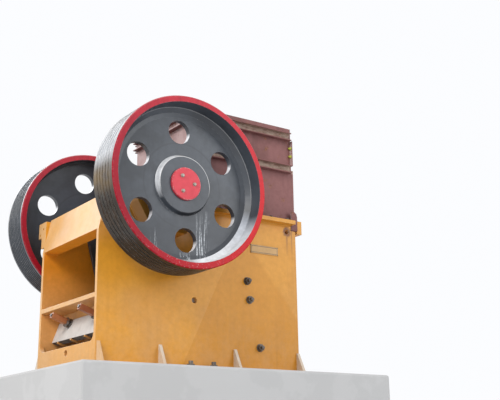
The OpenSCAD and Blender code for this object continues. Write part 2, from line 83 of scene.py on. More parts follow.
# %% [markdown]
# ## The camera
#
# The photograph was taken from below the rear corner of the machine, with a fairly long lens. The
# camera stands lower than the feet of the machine and looks up at them. A camera in Blender looks along
# its own -Z, so its axes are written as the columns of a rotation.

# %% Camera
LOOK = Vector((0.5614, 0.7811, 0.2733)).normalized()
RIGHT = Vector((0.8146, -0.5800, -0.0154)).normalized()
UP = RIGHT.cross(LOOK).normalized()
CAMERA_PLACE = Vector((-4.5456, -7.7616, -0.7472))
camera_data = bpy.data.cameras.new("camera")
camera_data.sensor_width = 36.0
camera_data.lens = 65.37
camera_data.clip_end = 200.0
camera = bpy.data.objects.new("camera", camera_data)
turn = Matrix((RIGHT, UP, -LOOK)).transposed().to_4x4()
camera.matrix_world = Matrix.Translation(CAMERA_PLACE) @ turn
bpy.context.scene.collection.objects.link(camera)
bpy.context.scene.camera = camera
print("lens", camera_data.lens, "mm at", [round(v, 2) for v in camera.matrix_world.translation])


# %% [markdown]
# ## Helpers for materials
#
# A material is a small tree of nodes. These helpers make a node, set its sockets and link them in one
# line, so that each recipe below stays readable. A colour is three numbers, and blend adds the alpha.

# %% Node helpers
def put(tree, kind, inputs=None, **settings):
    node = tree.nodes.new(kind)
    for name, value in settings.items():
        setattr(node, name, value)
    for key, value in (inputs or {}).items():
        if isinstance(value, bpy.types.NodeSocket):
            tree.links.new(value, node.inputs[key])
        else:
            node.inputs[key].default_value = value
    return node


def maths(tree, operation, a, b=0.0, c=0.0, clamp=False):
    return put(tree, "ShaderNodeMath", {0: a, 1: b, 2: c}, operation=operation, use_clamp=clamp).outputs[0]


def times(tree, first, *others):
    for other in others:
        first = maths(tree, "MULTIPLY", first, other)
    return first


def remap(tree, value, low, high, to_low=0.0, to_high=1.0):
    return put(tree, "ShaderNodeMapRange", {0: value, 1: low, 2: high, 3: to_low, 4: to_high}).outputs[0]


def blend(tree, factor, a, b):
    mix = put(tree, "ShaderNodeMix", data_type="RGBA")
    for key, value in (("Factor", factor), ("A", a), ("B", b)):
        is_color = key != "Factor"
        socket = next(s for s in mix.inputs if s.name == key and (s.type == "RGBA") == is_color)
        if isinstance(value, bpy.types.NodeSocket):
            tree.links.new(value, socket)
        else:
            socket.default_value = (*value, 1) if is_color else value
    return next(s for s in mix.outputs if s.type == "RGBA")


def scaled(color, by):
    return tuple(min(1.0, c * by) for c in color)


print("node helpers ready")

# %% [markdown]
# Every effect asks where a point lies and which way its face looks. Object coordinates are used
# throughout: the meshes are in metres and at the origin, so a noise scale of 10 means patches of about
# 10 cm, and a height in a material is a height on the machine.


# %% Helpers for places, directions and noise
def place_of(tree):
    return put(tree, "ShaderNodeTexCoord").outputs["Object"]


def normal_of(tree):
    return put(tree, "ShaderNodeNewGeometry").outputs["Normal"]


def axes(tree, vector):
    return put(tree, "ShaderNodeSeparateXYZ", {0: vector}).outputs


def dot(tree, a, b):
    return put(tree, "ShaderNodeVectorMath", {0: a, 1: b}, operation="DOT_PRODUCT").outputs["Value"]


def stretch(tree, place, scale):
    return put(tree, "ShaderNodeMapping", {"Vector": place, "Scale": scale}).outputs[0]


def noise(tree, place, scale, detail, roughness=0.5):
    inputs = {"Vector": place, "Scale": scale, "Detail": detail, "Roughness": roughness}
    return put(tree, "ShaderNodeTexNoise", inputs).outputs["Fac"]


def size_of(tree, value):
    return maths(tree, "ABSOLUTE", value)


def distance(tree, value, middle):
    return size_of(tree, maths(tree, "SUBTRACT", value, middle))


def hypotenuse(tree, a, b):
    return maths(tree, "SQRT", maths(tree, "ADD", times(tree, a, a), times(tree, b, b)))


print("helpers for places ready")

# %% [markdown]
# ## Effects that many finishes share
#
# Paint on a quarry machine looks the way it does because of a few effects: broad patches where the
# colour shifts, runs of water down upright faces, dust that settles on faces that look up, chips at the
# edges, rust, and a pale cream on the faces that look to the rear, which is partly chalky paint and
# partly a painted sheen of the bright sky. Painted images could hold these marks, but then every piece
# would need an unwrap, and noise in object coordinates needs none. Each effect is a node group with its
# own sockets, so one recipe serves the yellow frame, the dark wheels and the primed chute. A group puts
# out masks, colours and normals and never a shader.


# %% Helpers for groups
def group_tree(name, ins, outs):
    tree = bpy.data.node_groups.new(name, "ShaderNodeTree")
    for label, start in ins.items():
        socket = tree.interface.new_socket(label, in_out="INPUT", socket_type="NodeSocketFloat")
        socket.default_value = start
    for label, kind in outs.items():
        tree.interface.new_socket(label, in_out="OUTPUT", socket_type="NodeSocket" + kind)
    return tree, tree.nodes.new("NodeGroupInput").outputs, tree.nodes.new("NodeGroupOutput").inputs


def give_out(tree, sockets, **values):
    for label, value in values.items():
        tree.links.new(value, sockets[label])
    print("group", tree.name, "puts out", ", ".join(values))
    return tree


print("group helpers ready")

# %% [markdown]
# No coat of paint is even. A broad noise says where the second tone of a colour shows, and a noise
# fourteen times finer gives the mottling that the roughness and the bump use too.


# %% Group: patches
def make_patches():
    outs = {"Mask": "Float", "Fine": "Float"}
    tree, gin, gout = group_tree("patches", {"Scale": 2.0, "Contrast": 0.5}, outs)
    place = place_of(tree)
    wide = noise(tree, place, gin["Scale"], 5.0, 0.6)
    fine = noise(tree, place, times(tree, gin["Scale"], 14.0), 4.0, 0.65)
    low = maths(tree, "MULTIPLY_ADD", gin["Contrast"], -0.5, 0.5)
    high = maths(tree, "SUBTRACT", 1.0, low)
    mask = remap(tree, remap(tree, wide, 0.32, 0.68), low, high)
    return give_out(tree, gout, Mask=mask, Fine=fine)


PATCHES = make_patches()

# %% [markdown]
# Rain draws thin upright lines. A noise that is squeezed sideways and stretched in height gives them,
# and a second noise leaves gaps, since water doesn't run everywhere. Level faces have none.


# %% Group: runs of water down upright faces
def make_runs():
    tree, gin, gout = group_tree("runs", {"Density": 1.0, "Amount": 0.5}, {"Mask": "Float"})
    place = place_of(tree)
    stretched = stretch(tree, place, (9.0, 9.0, 0.55))
    lines = noise(tree, stretched, times(tree, gin["Density"], 2.2), 3.0, 0.5)
    gaps = noise(tree, place, 1.7, 2.0)
    upright = maths(tree, "SUBTRACT", 1.0, size_of(tree, axes(tree, normal_of(tree))["Z"]))
    lines = remap(tree, lines, 0.50, 0.72)
    gaps = remap(tree, gaps, 0.35, 0.65)
    return give_out(tree, gout, Mask=times(tree, lines, gaps, upright, gin["Amount"]))


RUNS = make_runs()

# %% [markdown]
# Stone dust lies on what looks up, and rain splashes mud against the lowest three quarters of a metre.
# The normal tells the one, the height the other, and one noise makes both patchy.


# %% Group: dust on faces that look up, and splash near the ground
def make_dust():
    tree, gin, gout = group_tree("dust", {"Amount": 0.6, "Splash": 0.3}, {"Mask": "Float"})
    place = place_of(tree)
    patchy = noise(tree, place, 6.0, 6.0, 0.7)
    up = remap(tree, axes(tree, normal_of(tree))["Z"], 0.25, 0.95)
    settled = times(tree, up, remap(tree, patchy, 0.30, 0.55), gin["Amount"])
    low = remap(tree, axes(tree, place)["Z"], 0.75, 0.0)
    splash = times(tree, low, remap(tree, patchy, 0.38, 0.62), gin["Splash"])
    return give_out(tree, gout, Mask=maths(tree, "MAXIMUM", settled, splash, clamp=True))


DUST = make_dust()

# %% [markdown]
# Paint goes first where plates end. The Bevel node rounds the shading of an edge without touching the
# mesh. Where its normal leaves the face's own normal there is an edge, and noise breaks it into chips.


# %% Group: chips and rub marks along the edges
def make_edges():
    outs = {"Mask": "Float", "Normal": "Vector"}
    tree, gin, gout = group_tree("edge_wear", {"Width": 0.006, "Amount": 0.6}, outs)
    rounded = put(tree, "ShaderNodeBevel", {"Radius": gin["Width"]}, samples=4).outputs[0]
    edge = remap(tree, dot(tree, rounded, normal_of(tree)), 0.995, 0.90)
    broken = remap(tree, noise(tree, place_of(tree), 38.0, 5.0, 0.75), 0.46, 0.58)
    return give_out(tree, gout, Mask=times(tree, edge, broken, gin["Amount"]), Normal=rounded)


EDGES = make_edges()

# %% [markdown]
# Rust starts in spots that grow together. A very rough noise is cut at a level that falls as the amount
# grows, and a small noise shifts the colour between dark scale and fresh orange.


# %% Group: spots and patches of rust
def make_rust():
    outs = {"Mask": "Float", "Color": "Color"}
    tree, gin, gout = group_tree("rust", {"Scale": 9.0, "Amount": 0.3}, outs)
    place = place_of(tree)
    spots = noise(tree, place, gin["Scale"], 8.0, 0.78)
    low = maths(tree, "MULTIPLY_ADD", gin["Amount"], -0.28, 0.72)
    mask = remap(tree, spots, low, maths(tree, "ADD", low, 0.06))
    tone = remap(tree, noise(tree, place, 45.0, 3.0), 0.4, 0.6)
    color = blend(tree, tone, (0.10, 0.035, 0.014), (0.26, 0.10, 0.035))
    return give_out(tree, gout, Mask=mask, Color=color)


RUST = make_rust()

# %% [markdown]
# Faces that look to the rear get a pale cream: partly paint that sun and rain have turned chalky, and
# partly a painted sheen that stands in for the bright sky. It is weaker on their lowest part.


# %% Group: chalk and painted sheen on faces that look to the rear
def make_sheen_and_chalk():
    tree, gin, gout = group_tree("sheen_and_chalk", {"Amount": 0.4}, {"Mask": "Float"})
    place = place_of(tree)
    rear = times(tree, axes(tree, normal_of(tree))["X"], -1.0)
    cloudy = remap(tree, noise(tree, place, 3.5, 4.0, 0.6), 0.30, 0.62, 0.45, 1.0)
    high = remap(tree, axes(tree, place)["Z"], 0.25, 0.60, 0.35, 1.0)
    mask = times(tree, remap(tree, rear, 0.55, 0.85), cloudy, high, gin["Amount"])
    return give_out(tree, gout, Mask=mask)


SHEEN_AND_CHALK = make_sheen_and_chalk()

# %% [markdown]
# ## A paint recipe
#
# All painted pieces share one way of building: the base colour is shifted by patches, changed by a zone
# where the piece has one, darkened by runs, dulled by dust and broken by rust and chips. The Principled
# shader stays in the material, because gloss belongs to each finish. Roughness follows the dust, and a
# small bump carries grit and orange peel.


# %% Painted finish
def use(tree, group, **values):
    node = tree.nodes.new("ShaderNodeGroup")
    node.node_tree = group
    for key, value in values.items():
        node.inputs[key].default_value = value
    return node.outputs


def new_material(name, metallic=0.0):
    material = bpy.data.materials.new(name)
    material.use_nodes = True
    tree = material.node_tree
    shader = tree.nodes["Principled BSDF"]
    shader.inputs["Metallic"].default_value = metallic
    return material, tree, shader


def grain_bump(tree, shader, height, normal, strength, depth):
    inputs = {"Strength": strength, "Distance": depth, "Height": height, "Normal": normal}
    tree.links.new(put(tree, "ShaderNodeBump", inputs).outputs[0], shader.inputs["Normal"])


def painted(name, base, shade, dust_color, dust, splash, runs, rust, wear, gloss, shine=0.5,
            sheen_and_chalk=0.0, sheen_and_chalk_color=(0.62, 0.51, 0.37), edge=None, zone=None):
    material, tree, shader = new_material(name)
    shader.inputs["Specular IOR Level"].default_value = shine
    patches = use(tree, PATCHES, Scale=1.4, Contrast=0.2)
    color = blend(tree, times(tree, patches["Mask"], 0.75), base, shade)
    if zone:
        color = zone(tree, color, shader)
    mottled = remap(tree, patches["Fine"], 0.35, 0.7, 0.0, 0.22)
    color = blend(tree, mottled, color, scaled(shade, 0.55))
    color = blend(tree, use(tree, RUNS, Density=1.0, Amount=runs)["Mask"], color, scaled(shade, 0.5))
    settled = use(tree, DUST, Amount=dust, Splash=splash)["Mask"]
    color = blend(tree, settled, color, dust_color)
    # Faces that look to the rear are lightened to a pale cream: chalky paint and a painted sheen of the sky.
    if sheen_and_chalk:
        color = blend(tree, use(tree, SHEEN_AND_CHALK, Amount=sheen_and_chalk)["Mask"], color, sheen_and_chalk_color)
    chips = use(tree, EDGES, Width=0.006, Amount=wear)
    rusty = use(tree, RUST, Scale=9.0, Amount=rust)
    spots = times(tree, rusty["Mask"], 0.8)
    color = blend(tree, spots, color, rusty["Color"])
    # Finishes that give an edge colour get pale chips, which also paint a highlight along their edges.
    color = blend(tree, chips["Mask"], color, edge or rusty["Color"])
    tree.links.new(color, shader.inputs["Base Color"])

    broken = maths(tree, "MAXIMUM", chips["Mask"], spots, clamp=True)
    rough = maths(tree, "MULTIPLY_ADD", settled, 0.35, gloss)
    rough = maths(tree, "MULTIPLY_ADD", patches["Fine"], 0.16, rough)
    rough = maths(tree, "MAXIMUM", rough, times(tree, broken, 0.8), clamp=True)
    tree.links.new(rough, shader.inputs["Roughness"])
    height = maths(tree, "SUBTRACT", times(tree, patches["Fine"], 0.5), times(tree, broken, 0.6))
    grain_bump(tree, shader, height, chips["Normal"], 0.25, 0.004)
    return material


print("paint recipe ready")

# %% [markdown]
# ## Zones of the crusher
#
# The frame wears a warm orange yellow, the wheels are slate grey with a crimson band on the rim faces,
# and the chute still has its primer. What a group can't know is where on the machine a mark lies. Such
# a mark is a zone: a function that changes the colour by measures of the point. All zones share these:
# the place in x, y and z, out as the distance from the middle plane, and side and up for the way the
# face looks. On a wheel there are also the distances from the shaft axis.


# %% Measures that the zones share
def measures(tree):
    place, normal = place_of(tree), normal_of(tree)
    part, facing = axes(tree, place), axes(tree, normal)
    return SimpleNamespace(place=place, normal=normal, x=part["X"], y=part["Y"], z=part["Z"],
                           out=size_of(tree, part["Y"]), side=size_of(tree, facing["Y"]), up=facing["Z"])


def wheel_measures(tree):
    at = measures(tree)
    at.across = maths(tree, "SUBTRACT", at.x, SHAFT.x)
    at.above = maths(tree, "SUBTRACT", at.z, SHAFT.z)
    at.below = maths(tree, "SUBTRACT", SHAFT.z, at.z)
    at.radius = hypotenuse(tree, at.across, at.above)
    at.flat = remap(tree, at.side, 0.6, 0.8)
    return at


print("measures ready")

# %% [markdown]
# The channel ribs of the chute are open to the outside, and wet stone dust has set in them in lumps.
# The mask is the depth of the channel between its two flanges.


# %% Zone: grime in the channel ribs of the chute
def channel_grime(tree, color, shader):
    at = measures(tree)
    half = RIB_H / 2
    mask = 0.0
    for middle in RIB_Z:
        channel = remap(tree, distance(tree, at.z, middle), half - 0.004, half - 0.008)
        mask = maths(tree, "MAXIMUM", mask, channel)
    deep = remap(tree, at.out, rib_high[1] - 0.010, rib_high[1] - 0.020)
    outside = remap(tree, at.out, INNER_Y + 0.001, INNER_Y + 0.003)
    lumps = noise(tree, stretch(tree, at.place, (1.0, 1.0, 4.0)), 9.0, 6.0, 0.75)
    grime = blend(tree, remap(tree, lumps, 0.45, 0.60), (0.44, 0.345, 0.265), (0.240, 0.150, 0.110))
    return blend(tree, times(tree, mask, deep, outside, 0.8), color, grime)


print("zone: channel grime")

# %% [markdown]
# Lime water has run down the dished web from the hub and the holes and dried white. Each cluster of
# runs has a middle, half a width, a top and a height below which it is at its strongest, measured from
# the shaft. A stretched noise draws the lines, and a fine one breaks them into drops.

# %% Zone: lime on the web
LIME = ((0.215, 0.080, 0.22, 0.55, 1.0), (-0.285, 0.040, 0.44, 0.56, 0.8), (0.030, 0.060, 0.61, 0.64, 0.8))


def lime_runs(tree, color, at):
    # The web faces get darker towards the bottom.
    darker_below = times(tree, remap(tree, at.below, -0.05, 0.55), at.flat, 0.45)
    color = blend(tree, darker_below, color, (0.022, 0.025, 0.032))
    lines = noise(tree, stretch(tree, at.place, (1.0, 1.0, 0.035)), 58.0, 4.0, 0.7)
    drops = noise(tree, at.place, 70.0, 3.0, 0.6)
    lime = 0.0
    for middle, half, top, foot, strength in LIME:
        beside = remap(tree, distance(tree, at.across, middle), half, half * 0.7)
        growing = remap(tree, at.below, top, foot, 0.12, 1.0)
        begun = remap(tree, at.below, top - 0.02, top)
        lime = maths(tree, "MAXIMUM", lime, times(tree, beside, growing, begun, strength))
    lines = remap(tree, lines, 0.51, 0.58)
    drops = remap(tree, drops, 0.44, 0.54, 0.40, 1.0)
    return blend(tree, times(tree, lime, lines, drops, at.flat), color, (0.74, 0.78, 0.82))


print("zone:", len(LIME), "clusters of lime runs")

# %% [markdown]
# One side of every wall is painted bright: the hub's upper left, and the lower right inside the rim and
# the web holes. On the hub this is stone dust and a painted highlight, in the holes a painted highlight,
# and inside the rim a painted reflection of the sky that turns a duller bluish grey lower down. The hub
# wall's lower left is painted almost black, a painted shadow. A wall is a face that doesn't look along
# the shaft, and its side is told by the dot product of its normal with a fixed direction. In the fillet
# inside the rim the normal leans outwards, so it is divided by its own upright part first.

# %% Zone: walls painted bright on one side and dark on the other
UPPER_LEFT = (-0.643, 0.0, 0.766)
LEFT = (-0.870, 0.0, 0.500)


def dust_and_lit_walls(tree, color, at):
    up, left = dot(tree, at.normal, UPPER_LEFT), dot(tree, at.normal, LEFT)
    wall = remap(tree, at.side, 0.90, 0.75)
    hub = remap(tree, at.radius, 0.300, 0.295)
    rim = remap(tree, at.radius, WHEEL_R * 0.850, WHEEL_R * 0.856)
    web = maths(tree, "SUBTRACT", 1.0, maths(tree, "MAXIMUM", hub, rim))
    level = maths(tree, "SUBTRACT", 1.0, times(tree, at.side, at.side))
    level = maths(tree, "SQRT", maths(tree, "MAXIMUM", level, 0.01))
    fillet = remap(tree, at.radius, WHEEL_R * 0.915, WHEEL_R * 0.905)
    lift = maths(tree, "MULTIPLY_ADD", fillet, 0.05, maths(tree, "DIVIDE", up, level))

    bright = times(tree, hub, remap(tree, left, 0.40, 0.72))
    bright = maths(tree, "MAXIMUM", bright, times(tree, rim, remap(tree, lift, 0.84, 0.95)))
    bright = maths(tree, "MAXIMUM", bright, times(tree, web, remap(tree, up, 0.55, 0.80)))
    powder = remap(tree, noise(tree, at.place, 7.0, 5.0, 0.65), 0.30, 0.55, 0.75, 1.0)
    duller = times(tree, rim, remap(tree, at.below, 0.62, 0.25))
    # coat is the painted highlight colour, pale at the top and a duller bluish grey low inside the rim.
    coat = blend(tree, duller, (0.84, 0.86, 0.90), (0.40, 0.43, 0.49))
    color = blend(tree, times(tree, bright, wall, powder, 0.95), color, coat)
    # Painted shadow: the lower left of the hub wall turns almost black.
    dark = times(tree, hub, wall, remap(tree, left, -0.10, -0.40), 0.8)
    return blend(tree, dark, color, (0.008, 0.008, 0.010))


print("zone: rubbed walls")

# %% [markdown]
# The turned edges of the hub face and of the rim's fillet get a thin painted highlight over the upper
# half of the wheel, and a faint dark ring lies halfway out on the faces that look along the shaft.

# %% Zone: rings on the turned faces
BRIGHT_RINGS = ((HUB_R, HUB_Y - 0.001, 0.8), (WHEEL_R * 0.905, HUB_Y + 0.007, 0.45))


def turned_rings(tree, color, at):
    upper = remap(tree, at.below, 0.10, -0.02)
    for ring, depth, strength in BRIGHT_RINGS:
        line = remap(tree, distance(tree, at.radius, ring), 0.004, 0.002)
        near = remap(tree, distance(tree, at.out, depth), 0.006, 0.003)
        color = blend(tree, times(tree, line, near, upper, strength), color, (0.80, 0.80, 0.80))
    step = remap(tree, distance(tree, at.radius, WHEEL_R * 0.50), 0.012, 0.003)
    return blend(tree, times(tree, step, at.flat, 0.35), color, (0.020, 0.022, 0.028))


print("zone:", len(BRIGHT_RINGS), "bright rings")

# %% [markdown]
# The tread of the plain wheel is pale powder at the top, with an olive stain under that, and it gets
# darker towards the bottom, with brown lines along the grooves. In the powder the lands and, most of all,
# the shallow grooves are painted lighter from the top down: powder, and painted light that takes the
# shade out of the grooves. Noise in coordinates along and across the tread draws the lines. The zone
# also gives back where the tread is matt, because powder and grime kill the shine of the paint.


# %% Zone: the tread of the plain wheel
def plain_tread(tree, color, at):
    around = maths(tree, "ARCTAN2", at.across, at.above)
    along = {0: times(tree, around, 1.6), 1: times(tree, at.y, 70.0)}
    lines = noise(tree, put(tree, "ShaderNodeCombineXYZ", along).outputs[0], 1.6, 6.0, 0.7)
    broad = noise(tree, at.place, 3.0, 4.0)
    # The tread is darker towards the bottom.
    grime = blend(tree, remap(tree, at.above, 0.20, -0.30), (0.120, 0.112, 0.105), (0.026, 0.022, 0.018))
    brown = times(tree, remap(tree, lines, 0.50, 0.60), remap(tree, at.above, 0.45, 0.15))
    grime = blend(tree, brown, grime, (0.070, 0.040, 0.022))
    pale = times(tree, remap(tree, lines, 0.41, 0.35), 0.55)
    grime = blend(tree, pale, grime, (0.200, 0.178, 0.148))
    stain = remap(tree, distance(tree, at.above, -0.05), 0.15, 0.04)
    stain = times(tree, stain, remap(tree, broad, 0.36, 0.52))
    grime = blend(tree, stain, grime, (0.140, 0.098, 0.050))

    powder = times(tree, remap(tree, at.above, 0.04, 0.20), remap(tree, at.across, 0.1, -0.1))
    # In the powder, lands and grooves are painted lighter from the top down, the grooves much lighter:
    # painted light against the shade inside them.
    bright = remap(tree, at.above, 0.45, 0.15)
    land = blend(tree, bright, (0.100, 0.104, 0.110), (0.230, 0.240, 0.255))
    groove = blend(tree, bright, (0.290, 0.305, 0.325), (0.720, 0.745, 0.780))
    lit_filled_grooves = times(tree, remap(tree, at.radius, WHEEL_R, WHEEL_R - 0.002), powder)
    grime = blend(tree, lit_filled_grooves, blend(tree, powder, grime, land), groove)

    tread = times(tree, remap(tree, at.radius, WHEEL_R - 0.016, WHEEL_R - 0.014),
                  remap(tree, at.side, 0.97, 0.93), remap(tree, at.y, -0.4, -0.5),
                  remap(tree, broad, 0.25, 0.50, 0.75, 1.0))
    dull = maths(tree, "MAXIMUM", remap(tree, at.above, 0.40, 0.0), powder)
    return blend(tree, tread, color, grime), times(tree, tread, dull)


print("zone: plain tread")

# %% [markdown]
# The crimson band is painted on the outer and inner faces of the rims only, by masking the faces that
# look along the shaft between two radii. It is paler towards the top, a painted sky reflection with some
# dust, and darker on the left than on the right as painted shade. Stones have knocked chips out of its
# lowest part. Band and tread shine less than the grey paint, so this last zone of the wheel also sets
# the shader's specular level.

# %% Zone: the red band on the rim faces
FACE_Y = WHEEL_Y - 0.012  # the paint reaches 12 mm behind the outer face of the rim


def rim_band(tree, color, at, shader, matte):
    from_edge = maths(tree, "SUBTRACT", FACE_Y, at.out)
    outside = remap(tree, from_edge, 0.002, 0.0)
    inside = remap(tree, from_edge, WHEEL_W - 0.026, WHEEL_W - 0.024)
    mask = times(tree, remap(tree, at.radius, WHEEL_R * 0.919, WHEEL_R * 0.9205),
                 maths(tree, "MAXIMUM", outside, inside), remap(tree, at.side, 0.5, 0.55))
    # The red is painted darker on the left and brighter on the right: painted shade.
    red = blend(tree, remap(tree, at.across, -0.70, 0.70), (0.290, 0.007, 0.019), (0.540, 0.006, 0.010))
    # Paler towards the top: a painted sky reflection with some dust.
    top_sheen_and_dust = remap(tree, at.above, -0.25, 0.75, 0.0, 0.6)
    red = blend(tree, top_sheen_and_dust, red, (0.500, 0.045, 0.065))
    knocks = noise(tree, at.place, 52.0, 5.0, 0.7)
    chips = times(tree, remap(tree, knocks, 0.60, 0.63), remap(tree, at.above, -0.55, -0.70), 0.6)
    red = blend(tree, chips, red, (0.50, 0.33, 0.31))
    shine = maths(tree, "MULTIPLY_ADD", mask, -0.34, maths(tree, "MULTIPLY_ADD", matte, -0.42, 0.5))
    tree.links.new(shine, shader.inputs["Specular IOR Level"])
    return blend(tree, mask, color, red)


def wheel_zone(tree, color, shader):
    at = wheel_measures(tree)
    color = lime_runs(tree, color, at)
    color = dust_and_lit_walls(tree, color, at)
    color = turned_rings(tree, color, at)
    color, matte = plain_tread(tree, color, at)
    return rim_band(tree, color, at, shader, matte)


print("zone: red band")

# %% [markdown]
# On the outer faces of the side plates a zone between two straight slanting borders is painted darker
# and more saturated, as painted shade, and outside it the orange has pale clouds. Inside the frame the
# faces get a redder orange, with a pale film that grows downwards, partly dust and partly painted
# reflection, and the feet outside the plates are grey with splashed mud. Each border is a straight line,
# with a slope of X over height and the X that it has at the ground.

# %% Zone: coats and painted shade of the frame
REAR_BORDER, FRONT_BORDER = (0.488, -0.230), (-0.833, 1.633)


def coats_and_painted_shade(tree, color, at, outer):
    rear = maths(tree, "MULTIPLY_ADD", at.z, *REAR_BORDER)
    front = maths(tree, "MULTIPLY_ADD", at.z, *FRONT_BORDER)
    # The zone between the two borders is painted shade on the outer face.
    slanting_shade = times(tree, remap(tree, maths(tree, "SUBTRACT", at.x, rear), -0.004, 0.004),
                  remap(tree, maths(tree, "SUBTRACT", front, at.x), -0.03, 0.03), outer)
    cloudy = noise(tree, at.place, 1.3, 3.0, 0.5)
    pale = times(tree, remap(tree, cloudy, 0.42, 0.66), maths(tree, "SUBTRACT", 1.0, slanting_shade), 0.30)
    color = blend(tree, pale, color, (0.60, 0.36, 0.14))
    color = blend(tree, times(tree, slanting_shade, 0.60), color, (0.56, 0.225, 0.004))

    turned = maths(tree, "MAXIMUM", at.side, times(tree, at.up, -1.0))
    inner = times(tree, remap(tree, at.out, INNER_Y + 0.004, INNER_Y + 0.002), remap(tree, turned, 0.5, 0.7))
    color = blend(tree, times(tree, inner, 0.85), color, (0.74, 0.250, 0.016))
    # The pale film inside grows downwards: partly dust and partly painted reflection.
    film = times(tree, inner, remap(tree, at.z, 1.10, 0.72, 0.0, 0.42))
    color = blend(tree, film, color, (0.66, 0.43, 0.21))
    feet = times(tree, remap(tree, at.out, PLATE_Y + 0.004, PLATE_Y + 0.008), remap(tree, at.z, 0.28, 0.24),
                 remap(tree, cloudy, 0.40, 0.52, 0.35, 0.90))
    return blend(tree, feet, color, (0.60, 0.54, 0.46))


print("zone: coats of the frame")

# %% [markdown]
# Rust water comes out of the lifting hole and from under the foot of the chute post. The hole gets a
# ring and each source a run that is densest at its top, with a noise that shakes the borders. Tops and
# ends are heights from the shaft axis.

# %% Zone: rust on the side plates
HOLE_X, HOLE_Z = FRONT_X - 0.112, SHAFT.z - 0.161
RUST_RUNS = ((HOLE_X, 0.016, -0.19, -0.42), (FRONT_X - 0.050, 0.010, -0.14, -0.46))


def rust_runs(tree, color, at, outer):
    shift = maths(tree, "MULTIPLY_ADD", noise(tree, at.place, 30.0, 6.0, 0.7), 0.06, -0.03)
    far = hypotenuse(tree, maths(tree, "SUBTRACT", at.x, HOLE_X), maths(tree, "SUBTRACT", at.z, HOLE_Z))
    mask = remap(tree, maths(tree, "ADD", far, shift), 0.062, 0.036)
    for x, width, top, end in RUST_RUNS:
        top, end = SHAFT.z + top, SHAFT.z + end
        beside = maths(tree, "MULTIPLY_ADD", shift, 0.2, distance(tree, at.x, x))
        run = times(tree, remap(tree, beside, width, width * 0.3), remap(tree, at.z, end, top),
                    remap(tree, at.z, top + 0.03, top), 0.7)
        mask = maths(tree, "MAXIMUM", mask, run)
    return blend(tree, times(tree, mask, outer, 0.85), color, (0.13, 0.042, 0.022))


def frame_zone(tree, color, shader):
    at = measures(tree)
    outer = remap(tree, at.out, PLATE_Y - 0.004, PLATE_Y - 0.002)
    return rust_runs(tree, coats_and_painted_shade(tree, color, at, outer), at, outer)


print("zone:", len(RUST_RUNS), "rust runs")

# %% [markdown]
# The leaning plate behind the toggle is white with dust on top, and its faces that look down are painted
# almost black as painted shade. The height of the normal is enough to part the two.


# %% Zone: painted shade under the rear beam plate
def dark_underside(tree, color, shader):
    down = remap(tree, axes(tree, normal_of(tree))["Z"], -0.45, -0.80, 0.0, 0.92)
    return blend(tree, down, color, (0.050, 0.036, 0.030))


print("zone: dark underside")

# %% [markdown]
# With the recipe and the zones ready, a finish is one line: base colour, second tone, colour of its
# dust, and how much of each effect it has. The numbers were set by comparing patches of the render with
# the same patches of the photograph.

# %% Painted finishes
# Faces of the frame and the chute that look to the rear get a pale cream, partly chalky paint and partly a
# painted sheen of the sky.
YELLOW = painted("frame_yellow", (0.66, 0.292, 0.025), (0.59, 0.248, 0.016), (0.62, 0.52, 0.40), dust=0.80,
                 splash=0.12, runs=0.16, rust=0.08, wear=0.60, gloss=0.30, shine=0.35, sheen_and_chalk=0.42,
                 edge=(0.76, 0.52, 0.26), zone=frame_zone)
WHEEL = painted("wheel_grey", (0.052, 0.060, 0.074), (0.034, 0.039, 0.048), (0.60, 0.59, 0.57), dust=0.40,
                splash=0.0, runs=0.25, rust=0.06, wear=0.50, gloss=0.26, edge=(0.40, 0.40, 0.40),
                zone=wheel_zone)
RED = painted("cap_red", (0.58, 0.030, 0.050), (0.50, 0.020, 0.038), (0.50, 0.40, 0.36), dust=0.4,
              splash=0.0, runs=0.2, rust=0.08, wear=0.7, gloss=0.38, edge=(0.78, 0.56, 0.56))
PRIMER = painted("chute_primer", (0.215, 0.085, 0.080), (0.150, 0.055, 0.050), (0.42, 0.34, 0.28), dust=0.75,
                 splash=0.0, runs=0.55, rust=0.55, wear=0.6, gloss=0.60, sheen_and_chalk=0.70,
                 sheen_and_chalk_color=(0.56, 0.43, 0.42), zone=channel_grime)
DUSTY = painted("dusty_plate", (0.56, 0.53, 0.50), (0.48, 0.45, 0.42), (0.66, 0.63, 0.60), dust=0.9,
                splash=0.3, runs=0.3, rust=0.12, wear=0.2, gloss=0.7, zone=dark_underside)
TUBE = painted("tube_primer", (0.42, 0.150, 0.055), (0.30, 0.095, 0.045), (0.55, 0.46, 0.36), dust=0.4,
               splash=0.1, runs=0.2, rust=0.25, wear=0.5, gloss=0.30)
CASTING = painted("dark_casting", (0.060, 0.063, 0.068), (0.040, 0.041, 0.044), (0.36, 0.31, 0.26),
                  dust=0.75, splash=0.4, runs=0.3, rust=0.35, wear=0.4, gloss=0.55)
BARE = painted("plate_bare", (0.52, 0.30, 0.10), (0.45, 0.24, 0.07), (0.60, 0.50, 0.38), dust=0.4,
               splash=0.0, runs=0.2, rust=0.10, wear=0.5, gloss=0.35)
MARK = painted("marked_nut", (0.42, 0.44, 0.05), (0.30, 0.31, 0.05), (0.45, 0.42, 0.36), dust=0.3,
               splash=0.0, runs=0.0, rust=0.3, wear=0.5, gloss=0.40)
PAINTS = (YELLOW, WHEEL, RED, PRIMER, DUSTY, TUBE, CASTING, BARE, MARK)
print("painted finishes:", [material.name for material in PAINTS])

# %% [markdown]
# Steel that works is not painted. The jaw plates are polished on the tooth tips and keep stone dust in
# their valleys. Shaft ends, bolts and rods show oiled steel with a brown film. The same groups serve
# here, with a metallic shader whose metal fades out under dust and rust.


